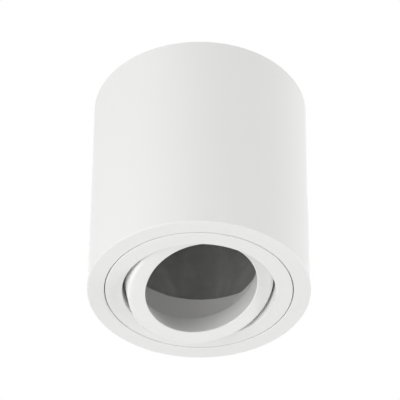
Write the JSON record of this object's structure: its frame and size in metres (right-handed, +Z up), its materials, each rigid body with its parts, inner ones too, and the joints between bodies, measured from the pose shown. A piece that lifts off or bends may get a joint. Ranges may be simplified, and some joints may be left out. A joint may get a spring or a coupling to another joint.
{
  "type": "surface mounted ceiling spotlight",
  "caption": "Round white surface mounted ceiling spotlight with a plain cylindrical can and a tilting lamp ring set in a flush trim ring.",
  "frame": {"origin": "centre of the face that meets the ceiling, on the can's axis", "axes": "+Z up into the ceiling along the can's axis, so the light hangs along -Z; +X along the line of the ceiling screw slots; the cable inlet is at +Y"},
  "size_m": [0.08, 0.08, 0.0915],
  "materials": {
    "white_coat": "matt white powder coat outside, bare cast metal inside",
    "zinc_steel": "bright zinc plate",
    "spring_steel": "bare spring steel",
    "black_rubber": "matt",
    "white_ceramic": "glazed",
    "lampholder_ceramic": "unglazed steatite",
    "brass": "turned",
    "tinned_brass": "tin plate",
    "contact_nickel": "nickel plate",
    "live_insulation": "matt silicone",
    "neutral_insulation": "matt silicone",
    "earth_insulation": "matt silicone, green with a yellow stripe",
    "nylon": "natural nylon"
  },
  "bodies": {
    "housing": {"housing_can": "white_coat", "mounting_bracket": "zinc_steel", "mounting_studs": "zinc_steel", "stud_washers": "zinc_steel", "stud_nuts": "zinc_steel", "cable_grommet": "black_rubber", "terminal_block": "white_ceramic", "terminal_tubes": "brass", "terminal_screws": "zinc_steel", "terminal_block_screws": "zinc_steel", "earth_washer": "zinc_steel", "earth_tag": "tinned_brass", "earth_screw": "zinc_steel", "earth_lead": "earth_insulation", "live_lead": "live_insulation", "neutral_lead": "neutral_insulation", "lampholder_body": "lampholder_ceramic", "lampholder_cover": "lampholder_ceramic", "lampholder_rivets": "zinc_steel", "lampholder_contacts": "contact_nickel"},
    "grip": {"grip_ring": "spring_steel"},
    "trim": {"trim_ring": "white_coat", "pivot_pins": "zinc_steel"},
    "tilt": {"tilt_ring": "white_coat", "friction_washers": "nylon", "lamp_clip": "spring_steel"}
  },
  "joints": [
    {"name": "trim_pull", "type": "slide", "parent": "housing", "child": "grip", "axis": [0, 0, -1], "range_m": [0, 0.01]},
    {"name": "trim_turn", "type": "hinge", "parent": "grip", "child": "trim", "pos_m": [0, 0, -0.085], "axis": [0, 0, -1], "range_deg": [-175, 175]},
    {"name": "ring_tilt", "type": "hinge", "parent": "trim", "child": "tilt", "pos_m": [0, 0, -0.0794], "axis": [-0.766, -0.6428, 0], "range_deg": [-36.3, 3.7]}
  ]
}
